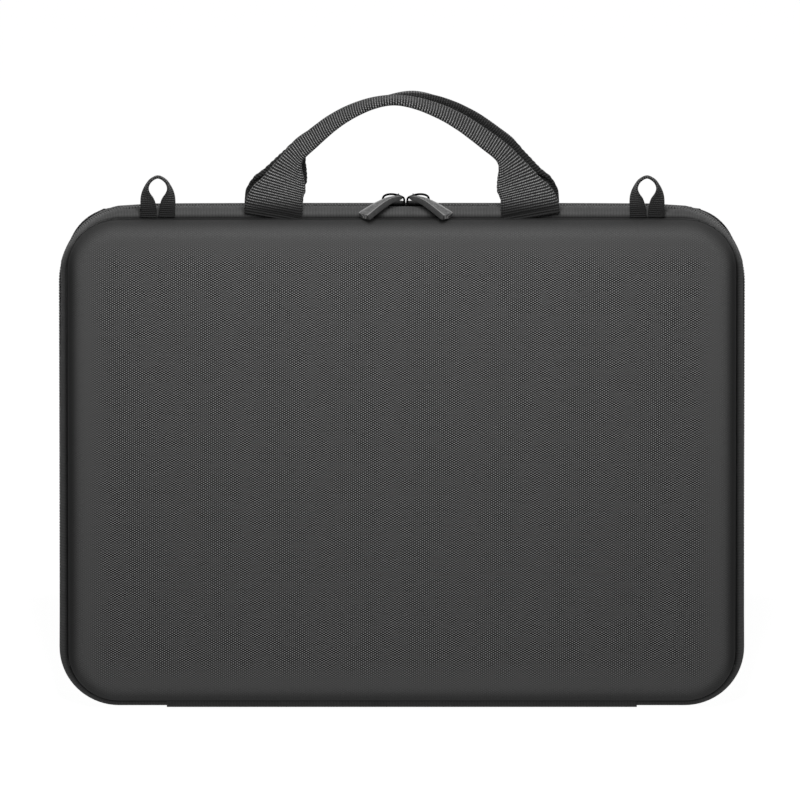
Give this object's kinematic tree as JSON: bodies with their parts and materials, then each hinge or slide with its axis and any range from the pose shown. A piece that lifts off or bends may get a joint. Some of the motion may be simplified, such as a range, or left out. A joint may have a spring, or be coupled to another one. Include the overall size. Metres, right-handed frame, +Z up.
{
  "type": "laptop hard case",
  "caption": "Zip-closed hard laptop case of two moulded, cloth-covered half shells on a fabric spine, with webbing handles, strap loops and hanging zip pulls.",
  "frame": {"origin": "on the floor below the middle of the spine, on which the closed case stands", "axes": "+X along the spine to the right of a viewer who faces the front, +Y from the front face to the rear face, +Z up towards the handles"},
  "size_m": [0.35, 0.042, 0.3203],
  "materials": {
    "skin": "matte",
    "core": "matte",
    "lining": "matte",
    "binding": "matte",
    "tape": "matte",
    "coil": "satin",
    "spine": "matte",
    "elastic": "matte",
    "net": "matte",
    "webbing": "matte",
    "ribbon": "matte",
    "metal": "satin",
    "tab": "matte"
  },
  "bodies": {
    "rear_half": {"rear_skin": "skin", "rear_shell": "core", "rear_lining": "lining", "rear_binding": "binding", "rear_tape": "tape", "rear_coil": "coil", "rear_zip_stops": "metal", "rear_spine_fold": "spine", "corner_strap_low_left": "elastic", "corner_strap_low_right": "elastic", "corner_strap_top_left": "elastic", "corner_strap_top_right": "elastic"},
    "spine": {"spine_cover": "spine", "spine_lining": "lining"},
    "front_half": {"front_skin": "skin", "front_shell": "core", "front_lining": "lining", "front_binding": "binding", "front_tape": "tape", "front_coil": "coil", "front_zip_stops": "metal", "front_spine_fold": "spine", "pocket_panel": "net", "pocket_hem": "elastic"},
    "front_handle": {"front_handle": "webbing"},
    "rear_handle": {"rear_handle": "webbing"},
    "left_loop": {"left_loop": "ribbon"},
    "right_loop": {"right_loop": "ribbon"},
    "left_slider": {"left_slider": "metal"},
    "right_slider": {"right_slider": "metal"},
    "left_pull": {"left_pull_link": "metal", "left_pull_tab": "tab"},
    "right_pull": {"right_pull_link": "metal", "right_pull_tab": "tab"}
  },
  "joints": [
    {"name": "spine_fold", "type": "hinge", "parent": "rear_half", "child": "spine", "pos_m": [0, 0.006, 0.0006], "axis": [1, 0, 0], "range_deg": [0, 90]},
    {"name": "lid_fold", "type": "hinge", "parent": "spine", "child": "front_half", "pos_m": [0, -0.006, 0.0006], "axis": [1, 0, 0], "range_deg": [0, 90]},
    {"name": "front_handle_swing", "type": "hinge", "parent": "front_half", "child": "front_handle", "pos_m": [0, -0.01095, 0.2584], "axis": [1, 0, 0], "range_deg": [0, 95]},
    {"name": "rear_handle_swing", "type": "hinge", "parent": "rear_half", "child": "rear_handle", "pos_m": [0, 0.01095, 0.2584], "axis": [-1, 0, 0], "range_deg": [0, 95]},
    {"name": "left_loop_swing", "type": "hinge", "parent": "front_half", "child": "left_loop", "pos_m": [-0.1248, -0.01095, 0.2584], "axis": [1, 0, 0], "range_deg": [0, 90]},
    {"name": "right_loop_swing", "type": "hinge", "parent": "front_half", "child": "right_loop", "pos_m": [0.1248, -0.01095, 0.2584], "axis": [1, 0, 0], "range_deg": [0, 90]},
    {"name": "left_slider_travel", "type": "slide", "parent": "front_half", "child": "left_slider", "axis": [-1, 0, 0], "range_m": [0, 0.026]},
    {"name": "right_slider_travel", "type": "slide", "parent": "front_half", "child": "right_slider", "axis": [1, 0, 0], "range_m": [0, 0.022]},
    {"name": "left_pull_swing", "type": "hinge", "parent": "left_slider", "child": "left_pull", "pos_m": [-0.0028, 0, 0.26725], "axis": [-1, 0, 0], "range_deg": [0, 210]},
    {"name": "right_pull_swing", "type": "hinge", "parent": "right_slider", "child": "right_pull", "pos_m": [0.0068, 0, 0.26725], "axis": [-1, 0, 0], "range_deg": [0, 210]}
  ],
  "couplings": [
    {"joint": "spine_fold", "follows": "lid_fold", "ratio": 1}
  ]
}
